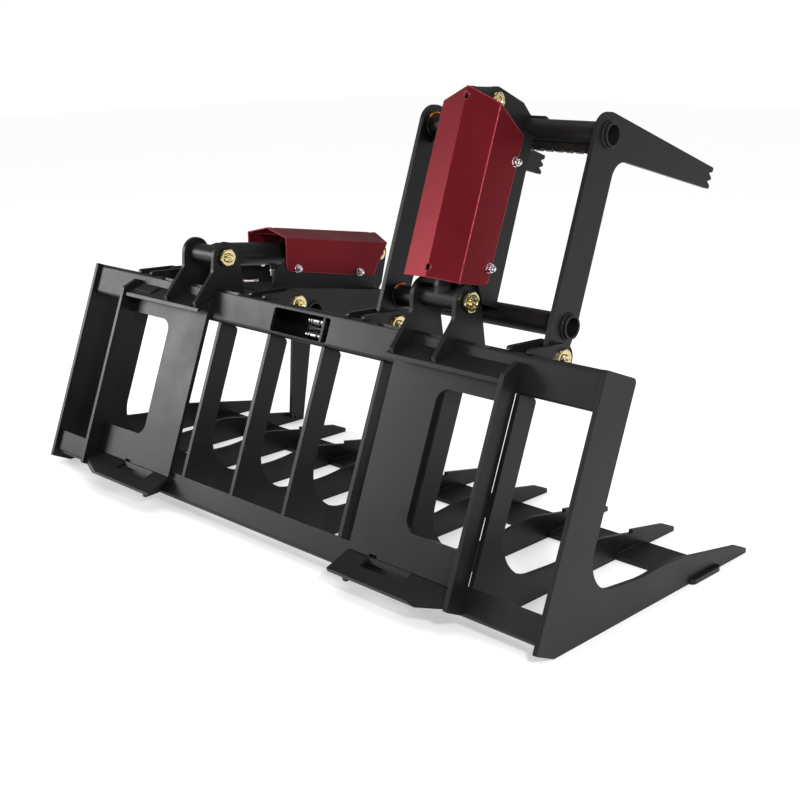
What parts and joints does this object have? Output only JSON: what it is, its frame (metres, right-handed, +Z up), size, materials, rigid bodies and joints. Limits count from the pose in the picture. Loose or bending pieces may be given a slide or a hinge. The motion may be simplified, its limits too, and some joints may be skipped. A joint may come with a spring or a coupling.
{
  "type": "skeleton grapple",
  "caption": "Skeleton grapple for a loader: open plate tines on a leaning back, with two hydraulic clamps that close over them.",
  "frame": {"origin": "middle of the ground footprint, under the whole grapple", "axes": "+X to the right seen from behind, +Y towards the tine tips, +Z up"},
  "size_m": [1.544, 0.8076, 0.9167],
  "materials": {
    "black_steel": "satin powder coat",
    "red_paint": "satin",
    "zinc_steel": "yellow zinc",
    "bare_steel": "plated",
    "chrome": "polished"
  },
  "bodies": {
    "frame": {"tine_1": "black_steel", "tine_2": "black_steel", "tine_3": "black_steel", "tine_4": "black_steel", "tine_5": "black_steel", "tine_6": "black_steel", "tine_7": "black_steel", "tine_8": "black_steel", "end_plate_left": "black_steel", "end_plate_right": "black_steel", "top_beam": "black_steel", "bottom_beam": "black_steel", "front_cross_plate": "black_steel", "attach_plate_left": "black_steel", "attach_plate_right": "black_steel", "side_bar_left": "black_steel", "side_bar_right": "black_steel", "top_lip_left": "black_steel", "top_lip_right": "black_steel", "bottom_lip_left": "black_steel", "bottom_lip_right": "black_steel", "lip_ribs": "black_steel", "lip_pad": "black_steel", "pivot_ears_left": "black_steel", "pivot_ears_right": "black_steel", "cylinder_ears_left": "black_steel", "cylinder_ears_right": "black_steel", "hydraulic_fittings": "bare_steel", "hinge_pins": "zinc_steel", "pin_spacers": "black_steel"},
    "clamp_left": {"arm_outer_left": "black_steel", "arm_inner_left": "black_steel", "upper_tube_left": "black_steel", "lower_tube_left": "black_steel", "grip_bar_left": "black_steel", "straps_left": "black_steel", "rod_ears_left": "black_steel", "rod_ear_gusset_left": "black_steel", "guard_left": "red_paint", "guard_bolts_left": "chrome", "rod_pin_left": "zinc_steel"},
    "cylinder_left": {"barrel_left": "black_steel", "port_fittings_left": "bare_steel"},
    "piston_rod_left": {"rod_left": "chrome"},
    "eye_left": {"rod_eye_left": "black_steel"},
    "clamp_right": {"arm_outer_right": "black_steel", "arm_inner_right": "black_steel", "upper_tube_right": "black_steel", "lower_tube_right": "black_steel", "grip_bar_right": "black_steel", "straps_right": "black_steel", "rod_ears_right": "black_steel", "rod_ear_gusset_right": "black_steel", "guard_right": "red_paint", "guard_bolts_right": "chrome", "rod_pin_right": "zinc_steel"},
    "cylinder_right": {"barrel_right": "black_steel", "port_fittings_right": "bare_steel"},
    "piston_rod_right": {"rod_right": "chrome"},
    "eye_right": {"rod_eye_right": "black_steel"}
  },
  "joints": [
    {"name": "clamp_left_hinge", "type": "hinge", "parent": "frame", "child": "clamp_left", "pos_m": [-0.35935, -0.0951, 0.44591], "axis": [1, 0, 0], "range_deg": [0, 79.5]},
    {"name": "cylinder_left_hinge", "type": "hinge", "parent": "frame", "child": "cylinder_left", "pos_m": [-0.35935, -0.1503, 0.535], "axis": [1, 0, 0], "range_deg": [0, 80.12]},
    {"name": "rod_left_slide", "type": "slide", "parent": "cylinder_left", "child": "piston_rod_left", "axis": [0, 0.9939, -0.11], "range_m": [-0.134, 0]},
    {"name": "eye_left_hinge", "type": "hinge", "parent": "clamp_left", "child": "eye_left", "pos_m": [-0.35935, 0.34769, 0.4799], "axis": [1, 0, 0], "range_deg": [0, 0.62]},
    {"name": "clamp_right_hinge", "type": "hinge", "parent": "frame", "child": "clamp_right", "pos_m": [0.35935, -0.0951, 0.44591], "axis": [1, 0, 0], "range_deg": [-79.5, 0]},
    {"name": "cylinder_right_hinge", "type": "hinge", "parent": "frame", "child": "cylinder_right", "pos_m": [0.35935, -0.1503, 0.535], "axis": [1, 0, 0], "range_deg": [-80.12, 0]},
    {"name": "rod_right_slide", "type": "slide", "parent": "cylinder_right", "child": "piston_rod_right", "axis": [0, 0.2792, 0.9602], "range_m": [0, 0.134]},
    {"name": "eye_right_hinge", "type": "hinge", "parent": "clamp_right", "child": "eye_right", "pos_m": [0.35935, -0.04782, 0.88748], "axis": [1, 0, 0], "range_deg": [-0.62, 0]}
  ],
  "couplings": [
    {"joint": "cylinder_left_hinge", "follows": "clamp_left_hinge", "ratio": 1.0076},
    {"joint": "rod_left_slide", "follows": "clamp_left_hinge", "m_per_rad": -0.096547},
    {"joint": "eye_left_hinge", "follows": "clamp_left_hinge", "ratio": 0.007603},
    {"joint": "cylinder_right_hinge", "follows": "clamp_right_hinge", "ratio": 1.0076},
    {"joint": "rod_right_slide", "follows": "clamp_right_hinge", "m_per_rad": -0.096547},
    {"joint": "eye_right_hinge", "follows": "clamp_right_hinge", "ratio": 0.007603}
  ]
}
